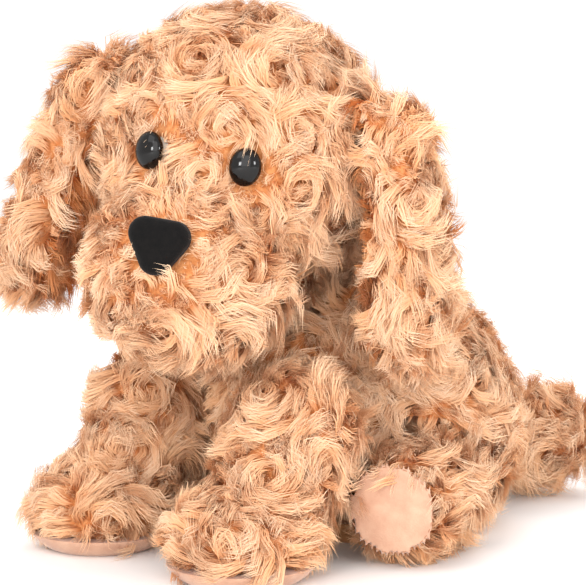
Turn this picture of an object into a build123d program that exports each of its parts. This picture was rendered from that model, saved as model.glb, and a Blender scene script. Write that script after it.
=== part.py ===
"""Seated plush dog: sewn plush covers, fibre filling, a pellet pouch in the seat, suede soles.

The dog faces -Y, its left side is +X and the floor is Z = 0. The origin is on the flat of the seat,
under the middle of the toy. Lengths are in millimetres, angles in degrees.
"""
from build123d import *
from math import cos, radians, sin
import os

# Cloth and clearances
PILE = 8.0            # plush fabric with its pile, pressed flat
SUEDE = 3.0           # sole and seat fabric
CLEAR = 0.3           # air between neighbouring soft pieces

# Trunk: a seat ball, a shoulder ball above it and a chest ball in front
TRUNK_FOOT = (0, 41, 0)
TRUNK_LEAN = 18.8
SEAT_RADIUS, SEAT_HEIGHT = 84.0, 61.0
BACK_RADIUS, BACK_HEIGHT = 64.0, 117.0
CHEST_CENTRE, CHEST_RADIUS = (0, -34, 88), 57.0
SEAT_PANEL_HEIGHT = 13.0
POUCH_CENTRE, POUCH_RADIUS, POUCH_HALF_HEIGHT = (0, 38, 40), 40.0, 28.0
POUCH_CLOTH = 1.0
LABEL_SIZE, LABEL_THICKNESS, LABEL_HEIGHT = (16.0, 24.0), 0.8, 26.0
LABEL_BEARING = 62.0  # round the trunk from straight behind, towards the dog's right

# Neck: a ball that the head turns and nods on
NECK = (0, -72, 150)
NECK_RADIUS = 43.0
NOD_UP = 12.0

# Head, in its own frame: X to the dog's left, -Y forward
HEAD_REACH, HEAD_RISE = 8.0, 57.0
HEAD_TURN, HEAD_ROLL, HEAD_DROOP = 30.0, 9.0, 6.0
HEAD_RADIUS = 74.5
MUZZLE_CENTRE, MUZZLE_RADIUS, MUZZLE_HALF_WIDTH = (0, -65, -52), 46.0, 52.0
NOSE_WIDTH, NOSE_HEIGHT, NOSE_DEPTH = 30.0, 27.0, 10.0
NOSE_ABOVE_MUZZLE, NOSE_SINK = 22.0, 4.4   # above the muzzle's middle, and in from its surface there
NOSE_CENTRE = (0, MUZZLE_CENTRE[1] - (MUZZLE_RADIUS ** 2 - NOSE_ABOVE_MUZZLE ** 2) ** 0.5 + NOSE_SINK,
               MUZZLE_CENTRE[2] + NOSE_ABOVE_MUZZLE)
NOSE_CORNER, NOSE_ROUND, NOSE_TILT = 8.0, 5.5, 12.0
EYE_X, EYE_Z = 25.0, 5.0
EYE_HALF_WIDTH, EYE_HALF_HEIGHT, EYE_HALF_DEPTH = 7.8, 9.3, 5.0
EYE_SINK = 1.5        # how far the eye's middle lies below the outside of the face
EYE_STEM_RADIUS, EYE_STEM_LENGTH = 2.2, 15.0
WASHER_RADIUS, WASHER_THICKNESS, WASHER_BORE_CLEAR = 7.5, 1.6, 0.05

# Ears: flat pads hanging from a rolled root seam
EAR_HALF_THICKNESS, EAR_HALF_LENGTH, EAR_EDGE = 19.0, 71.0, 16.0
EAR_TOP_RADIUS, EAR_TIP_RADIUS = 25.0, 38.0
EAR_OFF_HEAD = 1.5    # from the side of the head to an upright ear's near face
EAR_CENTRE, EAR_TILT = (HEAD_RADIUS + EAR_OFF_HEAD + EAR_HALF_THICKNESS, -15, -26), 13.0
EAR_ROOT = (HEAD_RADIUS - 5.5, -13, 38)
EAR_ROOT_RADIUS, EAR_ROOT_LENGTH = 9.0, 46.0
LINING_DEPTH = 8.0    # from the ear's middle plane in to the lining

# Front legs: a shoulder ball, an upright and a broad paw
SHOULDER, SHOULDER_RADIUS = (54, -89, 70), 36.0
UPRIGHT_CENTRE, UPRIGHT_RADIUS, UPRIGHT_LENGTH = (54, -101, 46), 34.0, 44.0
UPRIGHT_LEAN = 27.0
PAW_CENTRE, PAW_RADIUS, PAW_HALF_HEIGHT = (54, -125, 22), 41.0, 24.0
PAW_SOLE_HEIGHT = 9.0

# Hind legs: a hip ball and a foot with a round sole
HIP, HIP_RADIUS = (73, -15, 31), 33.0
TOE_OUT = 24.0
FOOT_REACH, FOOT_RADIUS = 27.0, 31.0
SOLE_RADIUS, SOLE_DOME = 21.5, 3.0

# Tail: a root ball and a tuft
TAIL_ROOT, TAIL_ROOT_RADIUS = (0, 112, 36), 26.0
TAIL_LEAN, TAIL_REACH = 22.0, 36.0
TAIL_RADIUS, TAIL_LENGTH = 30.0, 39.0

SIDES = {"left": 1, "right": -1}
UP = (0, 0, 1)

trunk_axis = Vector(UP).rotate(Axis.X, TRUNK_LEAN)
head_turned = [Vector(v).rotate(Axis.X, HEAD_DROOP).rotate(Axis.Y, HEAD_ROLL).rotate(Axis.Z, HEAD_TURN)
               for v in ((1, 0, 0), UP)]
head_centre = Vector(*NECK) + Vector(0, -HEAD_REACH, HEAD_RISE).rotate(Axis.Z, HEAD_TURN)
head_frame = Plane(origin=head_centre, x_dir=head_turned[0], z_dir=head_turned[1])


def on_head(point):
    """A point given in the head's own frame, as a point of the toy."""
    return head_frame.from_local_coords(Vector(*point))


def head_way(direction):
    """A direction given in the head's own frame, as a direction of the toy."""
    return on_head(direction) - head_frame.origin


def sided(point, side):
    """A point on the dog's left, mirrored to the right where side is -1."""
    return Vector(point[0] * side, point[1], point[2])


def both_sides(point):
    """A point on the dog's left and its mirror image on the right."""
    return [sided(point, side) for side in SIDES.values()]


def ball(centre, radius, grow=0.0, mode=Mode.ADD):
    """Adds a sphere to the open part."""
    balls([centre], radius, grow, mode)


def balls(centres, radius, grow=0.0, mode=Mode.ADD):
    """Adds equal spheres to the open part, their seams turned away from the middle plane."""
    centres = [Vector(*centre) for centre in centres]
    with Locations(*[Location(centre, (0, 0, 0 if centre.X > 0 else 180)) for centre in centres]):
        Sphere(radius + grow, mode=mode)


def capsule(centre, radius, length, way, grow=0.0, mode=Mode.ADD):
    """Adds a round-ended bar to the open part: its radius, and its half length along a direction."""
    centre, way, wide = Vector(*centre), Vector(*way).normalized(), radius + grow
    across = way.cross(Vector(0, 1, 0) if abs(way.Y) < 0.9 else Vector(1, 0, 0)).normalized()
    with BuildSketch(Plane(origin=centre, x_dir=across, z_dir=across.cross(way))) as half_section:
        with BuildLine():
            top = CenterArc((0, length - radius), wide, 0, 90)
            low = CenterArc((0, radius - length), wide, -90, 90)
            Line(low @ 1, top @ 0)
            Line(top @ 1, low @ 0)
        make_face()
    revolve(half_section.sketch, axis=Axis(centre, way), mode=mode)


def button(centre, radius, half_height, grow=0.0, mode=Mode.ADD):
    """Adds a flat round pad with a round rim to the open part."""
    centre, tall = Vector(*centre), half_height + grow
    with BuildSketch(Plane(origin=centre, x_dir=(1, 0, 0), z_dir=(0, -1, 0))) as half_section:
        with BuildLine():
            rim = CenterArc((radius - half_height, 0), tall, -90, 180)
            Line(rim @ 1, (0, tall))
            Line((0, tall), (0, -tall))
            Line((0, -tall), rim @ 0)
        make_face()
    revolve(half_section.sketch, axis=Axis(centre, (0, 0, 1)), mode=mode)


def keep(plane, side=Keep.TOP):
    """Keeps the part of the open solid on one side of a plane."""
    split(bisect_by=plane, keep=side)


def finish(part, name):
    """Labels a finished piece and writes it."""
    part.part.label = name
    export_step(part.part, f"parts/{name}.step")


os.makedirs("parts", exist_ok=True)

# ---------------------------------------------------------------- trunk
seat_centre = Vector(*TRUNK_FOOT) + trunk_axis * SEAT_HEIGHT
back_centre = Vector(*TRUNK_FOOT) + trunk_axis * BACK_HEIGHT
dish_radius = HEAD_RADIUS + HEAD_REACH
floor = Plane.XY
panel_top = Plane.XY.offset(SEAT_PANEL_HEIGHT)


def trunk_form(grow):
    """Adds the three balls of the trunk."""
    ball(seat_centre, SEAT_RADIUS, grow=grow)
    ball(back_centre, BACK_RADIUS, grow)
    ball(CHEST_CENTRE, CHEST_RADIUS, grow=grow)


def cut_sockets():
    """Hollows the trunk where the neck, the head, the legs and the tail turn in it."""
    ball(NECK, NECK_RADIUS, grow=CLEAR, mode=Mode.SUBTRACT)
    ball(Vector(*NECK) + Vector(0, 0, HEAD_RISE), dish_radius, mode=Mode.SUBTRACT)
    ball(TAIL_ROOT, TAIL_ROOT_RADIUS, grow=CLEAR, mode=Mode.SUBTRACT)
    balls(both_sides(SHOULDER), SHOULDER_RADIUS, grow=CLEAR, mode=Mode.SUBTRACT)
    balls(both_sides(HIP), HIP_RADIUS, grow=CLEAR, mode=Mode.SUBTRACT)


with BuildPart() as trunk_room:
    trunk_form(-PILE)

with BuildPart() as torso_cover:
    trunk_form(0)
    add(trunk_room.part, mode=Mode.SUBTRACT)
    cut_sockets()
    keep(panel_top)
finish(torso_cover, "torso_cover")

with BuildPart() as seat_hollow:
    ball(seat_centre, SEAT_RADIUS, grow=-SUEDE)
    keep(floor.offset(SUEDE))

with BuildPart() as seat_panel:
    ball(seat_centre, SEAT_RADIUS)
    keep(floor)
    keep(panel_top, Keep.BOTTOM)
    add(seat_hollow.part, mode=Mode.SUBTRACT)
    balls(both_sides(HIP), HIP_RADIUS, grow=CLEAR, mode=Mode.SUBTRACT)
finish(seat_panel, "seat_panel")

with BuildPart() as torso_filling:
    trunk_form(-PILE - CLEAR)
    keep(floor.offset(SUEDE + CLEAR))
    cut_sockets()
    button(POUCH_CENTRE, POUCH_RADIUS, POUCH_HALF_HEIGHT, grow=CLEAR, mode=Mode.SUBTRACT)
finish(torso_filling, "torso_filling")

with BuildPart() as pellet_pouch:
    button(POUCH_CENTRE, POUCH_RADIUS, POUCH_HALF_HEIGHT)
    button(POUCH_CENTRE, POUCH_RADIUS, POUCH_HALF_HEIGHT, grow=-POUCH_CLOTH, mode=Mode.SUBTRACT)
finish(pellet_pouch, "pellet_pouch")

with BuildPart() as pellet_fill:
    button(POUCH_CENTRE, POUCH_RADIUS, POUCH_HALF_HEIGHT, grow=-POUCH_CLOTH - CLEAR)
finish(pellet_fill, "pellet_fill")

# A blank cloth label, sewn into the rear seam and standing out from the trunk
label_out = Vector(-sin(radians(LABEL_BEARING)), cos(radians(LABEL_BEARING)), 0)
label_root = Vector(seat_centre.X, seat_centre.Y, LABEL_HEIGHT)
label_top = LABEL_HEIGHT + LABEL_SIZE[1] / 2
label_start = (SEAT_RADIUS ** 2 - (seat_centre.Z - label_top) ** 2) ** 0.5
label_plane = Plane(origin=label_root + label_out * (label_start + CLEAR),
                    x_dir=label_out, z_dir=label_out.cross(Vector(UP)))
with BuildPart() as care_label:
    with BuildSketch(label_plane):
        Rectangle(*LABEL_SIZE, align=(Align.MIN, Align.CENTER))
    extrude(amount=LABEL_THICKNESS / 2, both=True)
finish(care_label, "care_label")

# ---------------------------------------------------------------- neck
with BuildPart() as neck_cover:
    ball(NECK, NECK_RADIUS)
    ball(NECK, NECK_RADIUS, grow=-PILE, mode=Mode.SUBTRACT)
finish(neck_cover, "neck_cover")

with BuildPart() as neck_filling:
    ball(NECK, NECK_RADIUS, grow=-PILE - CLEAR)
finish(neck_filling, "neck_filling")

# ---------------------------------------------------------------- head
ear_axis = head_way((0, 1, 0))
cover_inside = HEAD_RADIUS - PILE
washer_drop = cover_inside - (cover_inside ** 2 - WASHER_RADIUS ** 2) ** 0.5
washer_depth = PILE - EYE_SINK + washer_drop + CLEAR


def eye_frame(side):
    """The eye's plane: its middle on the face, its Z straight out of the face."""
    outward = Vector(EYE_X * side, -(HEAD_RADIUS ** 2 - EYE_X ** 2 - EYE_Z ** 2) ** 0.5, EYE_Z)
    centre = outward * ((HEAD_RADIUS - EYE_SINK) / HEAD_RADIUS)
    return Plane(origin=on_head(centre), x_dir=head_way((1, 0, 0)), z_dir=head_way(outward))


def cut_ear_groove(side, grow):
    """Cuts the groove that an ear's rolled root turns in."""
    groove = Plane(origin=on_head(sided(EAR_ROOT, side)), x_dir=head_way((1, 0, 0)), z_dir=ear_axis)
    with BuildSketch(groove) as round_section:
        Circle(EAR_ROOT_RADIUS + grow)
    extrude(round_section.sketch, amount=EAR_ROOT_LENGTH / 2 + grow, both=True, mode=Mode.SUBTRACT)


def cut_eye_seat(side, grow=CLEAR):
    """Cuts the hollow for an eye's dome and the hole for its stem."""
    ellipsoid(eye_frame(side), (EYE_HALF_WIDTH, EYE_HALF_HEIGHT, EYE_HALF_DEPTH), grow, Mode.SUBTRACT)
    with BuildSketch(eye_frame(side)) as stem_hole:
        Circle(EYE_STEM_RADIUS + grow)
    extrude(stem_hole.sketch, amount=-EYE_STEM_LENGTH - grow, mode=Mode.SUBTRACT)


def ellipsoid(frame, halves, grow=0.0, mode=Mode.ADD):
    """Adds an ellipsoid to the open part: its three half lengths along the frame's own axes."""
    round_ball = Solid.make_sphere(1, angle1=-90, angle2=90, angle3=360)
    scaled = scale(round_ball, by=tuple(half + grow for half in halves), mode=Mode.PRIVATE)
    add(frame.location * scaled, mode=mode)


with BuildPart() as head_cover:
    ball(head_centre, HEAD_RADIUS)
    ball(head_centre, HEAD_RADIUS, grow=-PILE, mode=Mode.SUBTRACT)
    ball(NECK, NECK_RADIUS, grow=CLEAR, mode=Mode.SUBTRACT)
    for side in SIDES.values():
        cut_ear_groove(side, CLEAR)
        cut_eye_seat(side)
finish(head_cover, "head_cover")

with BuildPart() as head_filling:
    ball(head_centre, HEAD_RADIUS, grow=-PILE - CLEAR)
    ball(NECK, NECK_RADIUS, grow=CLEAR, mode=Mode.SUBTRACT)
    for side in SIDES.values():
        cut_ear_groove(side, CLEAR)
        with BuildSketch(eye_frame(side)):
            Circle(WASHER_RADIUS + CLEAR)
        extrude(amount=-EYE_STEM_LENGTH - CLEAR, mode=Mode.SUBTRACT)
finish(head_filling, "head_filling")


def muzzle_form(grow):
    """Adds the muzzle's form."""
    capsule(on_head(MUZZLE_CENTRE), MUZZLE_RADIUS, MUZZLE_HALF_WIDTH, head_way((1, 0, 0)), grow)


def clear_of_head():
    """Cuts away what the head and the neck take up."""
    ball(head_centre, HEAD_RADIUS, grow=CLEAR, mode=Mode.SUBTRACT)
    ball(NECK, NECK_RADIUS, grow=CLEAR, mode=Mode.SUBTRACT)


nose_frame = Plane(origin=on_head(NOSE_CENTRE), x_dir=head_way((1, 0, 0)),
                   z_dir=head_way(Vector(0, -1, 0).rotate(Axis.X, -NOSE_TILT)))


def nose_form(grow, mode=Mode.ADD):
    """Adds the nose: a triangle with round corners and its point down, rounded in front."""
    with BuildSketch(nose_frame) as outline:
        half, tall = NOSE_WIDTH / 2 - NOSE_CORNER, NOSE_HEIGHT / 2 - NOSE_CORNER
        Polygon((-half, tall), (half, tall), (0, -tall), align=None)
        offset(amount=NOSE_CORNER + grow, kind=Kind.ARC)
    extrude(outline.sketch, amount=NOSE_DEPTH + grow, mode=mode)


with BuildPart() as nose_pad:
    nose_form(0)
    nose_front = nose_pad.faces().sort_by(Axis(nose_frame.origin, nose_frame.z_dir))[-1]
    fillet(nose_front.edges(), NOSE_ROUND)
finish(nose_pad, "nose_pad")

with BuildPart() as muzzle_cover:
    muzzle_form(0)
    capsule(on_head(MUZZLE_CENTRE), MUZZLE_RADIUS, MUZZLE_HALF_WIDTH, head_way((1, 0, 0)), -PILE, Mode.SUBTRACT)
    clear_of_head()
    nose_form(CLEAR, Mode.SUBTRACT)
finish(muzzle_cover, "muzzle_cover")

with BuildPart() as muzzle_filling:
    muzzle_form(-PILE - CLEAR)
    clear_of_head()
    nose_form(CLEAR, Mode.SUBTRACT)
finish(muzzle_filling, "muzzle_filling")

for word, side in SIDES.items():
    with BuildPart() as eye:
        ellipsoid(eye_frame(side), (EYE_HALF_WIDTH, EYE_HALF_HEIGHT, EYE_HALF_DEPTH))
        with BuildSketch(eye_frame(side)):
            Circle(EYE_STEM_RADIUS)
        extrude(amount=-EYE_STEM_LENGTH)
    finish(eye, f"eye_{word}")

    with BuildPart() as eye_washer:
        with BuildSketch(eye_frame(side).offset(-washer_depth)):
            Circle(WASHER_RADIUS)
            Circle(EYE_STEM_RADIUS + WASHER_BORE_CLEAR, mode=Mode.SUBTRACT)
        extrude(amount=-WASHER_THICKNESS)
    finish(eye_washer, f"eye_washer_{word}")

# ---------------------------------------------------------------- ears
def ear_pad(frame):
    """Adds an ear: a long pad, narrow at its root, with thick round edges."""
    outline_plane = Plane(origin=frame.origin, x_dir=frame.y_dir, z_dir=frame.x_dir)
    with BuildSketch(outline_plane) as outline:
        with Locations((0, EAR_HALF_LENGTH - EAR_TOP_RADIUS)):
            Circle(EAR_TOP_RADIUS)
        with Locations((0, EAR_TIP_RADIUS - EAR_HALF_LENGTH)):
            Circle(EAR_TIP_RADIUS)
        make_hull()
    pad = extrude(outline.sketch, amount=EAR_HALF_THICKNESS, both=True)
    faces = pad.faces().sort_by(Axis(frame.origin, frame.x_dir))
    fillet(faces[0].edges() + faces[-1].edges(), EAR_EDGE)


for word, side in SIDES.items():
    ear_frame = Plane(
        origin=on_head(sided(EAR_CENTRE, side)),
        x_dir=head_way(Vector(side, 0, 0).rotate(Axis.Y, -EAR_TILT * side)),
        z_dir=head_way(Vector(0, 0, 1).rotate(Axis.Y, -EAR_TILT * side)))
    root_frame = Plane(origin=on_head(sided(EAR_ROOT, side)), x_dir=head_way((1, 0, 0)), z_dir=ear_axis)
    middle = Plane(origin=ear_frame.origin - ear_frame.x_dir * LINING_DEPTH, z_dir=ear_frame.x_dir)

    with BuildPart() as ear_plush:
        ear_pad(ear_frame)
        keep(middle)
        with BuildSketch(root_frame):
            Circle(EAR_ROOT_RADIUS)
        extrude(amount=EAR_ROOT_LENGTH / 2, both=True)
    finish(ear_plush, f"ear_{word}_plush")

    with BuildPart() as ear_lining:
        ear_pad(ear_frame)
        keep(middle, Keep.BOTTOM)
        with BuildSketch(root_frame):
            Circle(EAR_ROOT_RADIUS + CLEAR)
        extrude(amount=EAR_TIP_RADIUS, both=True, mode=Mode.SUBTRACT)
        ball(head_centre, HEAD_RADIUS, grow=CLEAR, mode=Mode.SUBTRACT)
    finish(ear_lining, f"ear_{word}_lining")

# ---------------------------------------------------------------- front legs
upright_way = Vector(0, 0, 1).rotate(Axis.X, -UPRIGHT_LEAN)


def front_leg_form(side, grow):
    """Adds a front leg: shoulder ball, upright and paw."""
    ball(sided(SHOULDER, side), SHOULDER_RADIUS, grow=grow)
    capsule(sided(UPRIGHT_CENTRE, side), UPRIGHT_RADIUS, UPRIGHT_LENGTH, upright_way, grow)
    button(sided(PAW_CENTRE, side), PAW_RADIUS, PAW_HALF_HEIGHT, grow=grow)


sole_top = floor.offset(PAW_SOLE_HEIGHT)
for word, side in SIDES.items():
    with BuildPart() as leg_room:
        front_leg_form(side, -PILE)

    with BuildPart() as leg_cover:
        front_leg_form(side, 0)
        add(leg_room.part, mode=Mode.SUBTRACT)
        keep(sole_top)
    finish(leg_cover, f"front_leg_{word}_cover")

    with BuildPart() as leg_sole:
        button(sided(PAW_CENTRE, side), PAW_RADIUS, PAW_HALF_HEIGHT)
        keep(floor)
        keep(sole_top, Keep.BOTTOM)
        add(leg_room.part, mode=Mode.SUBTRACT)
    finish(leg_sole, f"front_leg_{word}_sole")

    with BuildPart() as leg_filling:
        front_leg_form(side, -PILE - CLEAR)
    finish(leg_filling, f"front_leg_{word}_filling")

# ---------------------------------------------------------------- hind legs
sole_reach = FOOT_REACH + (FOOT_RADIUS ** 2 - SOLE_RADIUS ** 2) ** 0.5
for word, side in SIDES.items():
    toe_way = Vector(0, -1, 0).rotate(Axis.Z, TOE_OUT * side)
    hip = sided(HIP, side)
    foot_centre = hip + toe_way * FOOT_REACH
    sole_plane = Plane(origin=hip + toe_way * sole_reach, x_dir=toe_way.cross(Vector(UP)), z_dir=toe_way)

    with BuildPart() as leg_cover:
        ball(hip, HIP_RADIUS)
        ball(foot_centre, FOOT_RADIUS)
        ball(hip, HIP_RADIUS, grow=-PILE, mode=Mode.SUBTRACT)
        ball(foot_centre, FOOT_RADIUS, grow=-PILE, mode=Mode.SUBTRACT)
        keep(sole_plane, Keep.BOTTOM)
        keep(floor)
    finish(leg_cover, f"hind_leg_{word}_cover")

    with BuildPart() as leg_filling:
        ball(hip, HIP_RADIUS, grow=-PILE - CLEAR)
        ball(foot_centre, FOOT_RADIUS, grow=-PILE - CLEAR)
        keep(sole_plane.offset(-CLEAR), Keep.BOTTOM)
    finish(leg_filling, f"hind_leg_{word}_filling")

    dome_radius = (SOLE_RADIUS ** 2 + SOLE_DOME ** 2) / (2 * SOLE_DOME)
    with BuildPart() as leg_sole:
        ball(sole_plane.origin - toe_way * (dome_radius - SOLE_DOME), dome_radius)
        keep(sole_plane)
    finish(leg_sole, f"hind_leg_{word}_sole")

# ---------------------------------------------------------------- tail
tail_way = Vector(0, 1, 0).rotate(Axis.Z, -TAIL_LEAN)
tuft_centre = Vector(*TAIL_ROOT) + tail_way * TAIL_REACH

with BuildPart() as tail_room:
    ball(TAIL_ROOT, TAIL_ROOT_RADIUS, grow=-PILE)
    capsule(tuft_centre, TAIL_RADIUS, TAIL_LENGTH, tail_way, -PILE)

with BuildPart() as tail_cover:
    ball(TAIL_ROOT, TAIL_ROOT_RADIUS)
    capsule(tuft_centre, TAIL_RADIUS, TAIL_LENGTH, tail_way)
    add(tail_room.part, mode=Mode.SUBTRACT)
finish(tail_cover, "tail_cover")

with BuildPart() as tail_filling:
    ball(TAIL_ROOT, TAIL_ROOT_RADIUS, grow=-PILE - CLEAR)
    capsule(tuft_centre, TAIL_RADIUS, TAIL_LENGTH, tail_way, -PILE - CLEAR)
finish(tail_filling, "tail_filling")
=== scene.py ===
"""A seated plush dog of curled apricot pile, with suede soles, a velvet nose and glossy eyes."""
from math import cos, pi, radians, sin

import bmesh
import bpy
import numpy as np
from mathutils import Matrix, Vector
from mathutils.bvhtree import BVHTree


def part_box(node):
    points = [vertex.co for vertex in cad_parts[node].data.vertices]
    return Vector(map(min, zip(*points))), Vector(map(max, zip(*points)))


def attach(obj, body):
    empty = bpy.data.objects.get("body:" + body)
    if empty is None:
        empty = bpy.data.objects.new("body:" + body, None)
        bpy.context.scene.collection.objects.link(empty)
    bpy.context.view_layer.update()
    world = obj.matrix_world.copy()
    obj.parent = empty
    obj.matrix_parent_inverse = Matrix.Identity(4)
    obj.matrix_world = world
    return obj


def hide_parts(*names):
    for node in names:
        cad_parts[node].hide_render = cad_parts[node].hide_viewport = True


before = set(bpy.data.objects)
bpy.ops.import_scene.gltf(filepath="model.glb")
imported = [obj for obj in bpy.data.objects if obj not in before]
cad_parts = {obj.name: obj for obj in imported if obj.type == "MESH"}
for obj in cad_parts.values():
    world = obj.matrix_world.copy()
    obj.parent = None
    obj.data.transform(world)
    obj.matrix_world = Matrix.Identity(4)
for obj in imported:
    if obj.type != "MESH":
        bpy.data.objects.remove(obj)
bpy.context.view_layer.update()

MM = 0.001

# Camera: a long lens, low and to the dog's left front, level with its chest.
# It looks at the middle of the toy from a little over a metre away.
TARGET = Vector((0, -38, 131)) * MM
BEARING, RAISED, DISTANCE = radians(46), radians(5.5), 1100 * MM
camera = bpy.data.objects.new("camera", bpy.data.cameras.new("camera"))
camera.data.sensor_width, camera.data.lens = 36, 127.8
camera.data.clip_end = 20
towards_camera = Vector((sin(BEARING) * cos(RAISED), -cos(BEARING) * cos(RAISED), sin(RAISED)))
camera.location = TARGET + towards_camera * DISTANCE
camera.rotation_euler = towards_camera.to_track_quat("Z", "Y").to_euler()
bpy.context.scene.collection.objects.link(camera)
bpy.context.scene.camera = camera
bpy.context.scene.view_settings.view_transform = "Standard"


# Studio: a white sweep under soft light, with a large key lamp high on the left of the view.
# The sweep is painted board, so it is matt and very slightly uneven.
def linear(hex_colour):
    """An sRGB hex colour as linear RGBA."""
    parts = [int(hex_colour[i:i + 2], 16) / 255 for i in (1, 3, 5)]
    return (*[p / 12.92 if p <= 0.04045 else ((p + 0.055) / 1.055) ** 2.4 for p in parts], 1)


def add(tree, kind, inputs=None, **settings):
    """Adds one node, with its settings, and sets or links its inputs."""
    node = tree.nodes.new(kind)
    for name, value in settings.items():
        setattr(node, name, value)
    for key, value in (inputs or {}).items():
        if isinstance(value, bpy.types.NodeSocket):
            tree.links.new(value, node.inputs[key])
        else:
            node.inputs[key].default_value = value
    return node


def new_material(name, **constants):
    """An empty material with its shader, whose constants are set on its own sockets."""
    material = bpy.data.materials.new(name)
    material.use_nodes = True
    tree = material.node_tree
    tree.nodes.clear()
    shader = add(tree, "ShaderNodeBsdfPrincipled",
                 {key.replace("_", " "): value for key, value in constants.items()})
    add(tree, "ShaderNodeOutputMaterial", {"Surface": shader.outputs[0]})
    return material, tree, shader


studio_white, tree, shader = new_material("painted_board", Roughness=0.9)
mottle = add(tree, "ShaderNodeTexNoise", {"Vector": add(tree, "ShaderNodeTexCoord").outputs["Object"],
                                          "Scale": 3.0})
tones = add(tree, "ShaderNodeValToRGB", {"Fac": mottle.outputs["Fac"]})
tones.color_ramp.elements[0].color = linear("#FAFAFA")
tones.color_ramp.elements[1].color = linear("#FFFFFF")
tree.links.new(tones.outputs["Color"], shader.inputs["Base Color"])
floor_mesh = bpy.data.meshes.new("floor")
HALF_FLOOR = 6.0
floor_mesh.from_pydata([(-HALF_FLOOR, -HALF_FLOOR, 0), (HALF_FLOOR, -HALF_FLOOR, 0),
                        (HALF_FLOOR, HALF_FLOOR, 0), (-HALF_FLOOR, HALF_FLOOR, 0)], [], [(0, 1, 2, 3)])
floor_mesh.materials.append(studio_white)
floor = bpy.data.objects.new("floor", floor_mesh)
bpy.context.scene.collection.objects.link(floor)

world = bpy.data.worlds.new("studio")
world.use_nodes = True
world.node_tree.nodes["Background"].inputs["Color"].default_value = linear("#FFFFFF")
world.node_tree.nodes["Background"].inputs["Strength"].default_value = 1.06
bpy.context.scene.world = world
# Each lamp: its bearing and height in degrees, distance and width in metres, and power in watts
LAMPS = (("key", 15, 48, 1.5, 1.0, 5), ("catch_left", 94, 8, 1.5, 0.26, 5),
         ("catch_right", 24, 8, 1.5, 0.26, 6), ("front", 50, 18, 1.6, 1.2, 10), ("rim", 215, 45, 1.5, 0.8, 6))
for name, bearing, raised, distance, size, power in LAMPS:
    light = bpy.data.lights.new(name, "AREA")
    light.size, light.energy = size, power
    lamp = bpy.data.objects.new(name, light)
    way = Vector((sin(radians(bearing)) * cos(radians(raised)),
                  -cos(radians(bearing)) * cos(radians(raised)), sin(radians(raised))))
    lamp.location = TARGET + way * distance
    lamp.rotation_euler = way.to_track_quat("Z", "Y").to_euler()
    bpy.context.scene.collection.objects.link(lamp)


# Curled pile: polyester fibre that the mill tumbles into rosettes and that clings in pointed locks.
# Each strand is a narrow ribbon that follows its lock round the nearest rosette and droops a little.
RIBBON_SEGMENTS = 3
STRAND_TRIANGLES = 2 * RIBBON_SEGMENTS - 1   # the tip of the ribbon closes to a point
MOST_TRIANGLES = 190000      # in one piece
ROSETTES_AT_MOST, LOCKS_AT_MOST = 4000.0, 120000.0   # on a square metre, before their spacing thins them
TAPER = 2.2                  # the power by which a ribbon narrows
TIGHTEST_BEND = 5.5 * MM     # radius of a strand's curl beside its rosette's centre
GATHERING = 0.7              # the share of its distance that a tip closes towards its lock
FLOOR_GAP = 0.3 * MM         # the lowest that a strand may reach above the floor
pile = bpy.data.node_groups.new("curled_pile", "GeometryNodeTree")
pile.interface.new_socket("Geometry", in_out="INPUT", socket_type="NodeSocketGeometry")
for name, kind, value in (
        ("Density", "Float", 100000.0), ("Length", "Float", 0.015), ("Rise", "Float", 0.009),
        ("Width", "Float", 0.0009), ("Rosette Spacing", "Float", 0.026), ("Lock Spacing", "Float", 0.004),
        ("Droop", "Float", 0.003), ("Spread", "Float", 0.35), ("Tone", "Float", 0.5), ("Seed", "Int", 1),
        ("Layer", "Int", 0), ("Material", "Material", None)):
    socket = pile.interface.new_socket(name, in_out="INPUT", socket_type="NodeSocket" + kind)
    if value is not None:
        socket.default_value = value
pile.interface.new_socket("Geometry", in_out="OUTPUT", socket_type="NodeSocketGeometry")
pile_inputs = {item.name: item.identifier for item in pile.interface.items_tree if item.in_out == "INPUT"}

given = add(pile, "NodeGroupInput").outputs
backing = given["Geometry"]
place = add(pile, "GeometryNodeInputPosition").outputs[0]
coat = add(pile, "GeometryNodeInputNamedAttribute", {"Name": "coat"}, data_type="FLOAT").outputs[0]

# Rosette centres, and the lock roots with their normals
rosettes = add(pile, "GeometryNodeDistributePointsOnFaces", {
    "Mesh": backing, "Distance Min": given["Rosette Spacing"],
    "Density Max": ROSETTES_AT_MOST, "Seed": given["Seed"]},
    distribute_method="POISSON").outputs["Points"]
lock_seed = add(pile, "ShaderNodeMath", {0: given["Seed"], 1: 31.0}, operation="ADD").outputs[0]
scattered = add(pile, "GeometryNodeDistributePointsOnFaces", {
    "Mesh": backing, "Distance Min": given["Lock Spacing"], "Density Max": LOCKS_AT_MOST, "Seed": lock_seed},
    distribute_method="POISSON")
lock_capture = add(pile, "GeometryNodeCaptureAttribute")
lock_capture.capture_items.new("VECTOR", "Normal")
lock_capture.capture_items.new("FLOAT", "Coat")
pile.links.new(scattered.outputs["Points"], lock_capture.inputs[0])
pile.links.new(scattered.outputs["Normal"], lock_capture.inputs[1])
pile.links.new(coat, lock_capture.inputs[2])
locks, lock_normal, lock_coat = lock_capture.outputs[0], lock_capture.outputs[1], lock_capture.outputs[2]

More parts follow.
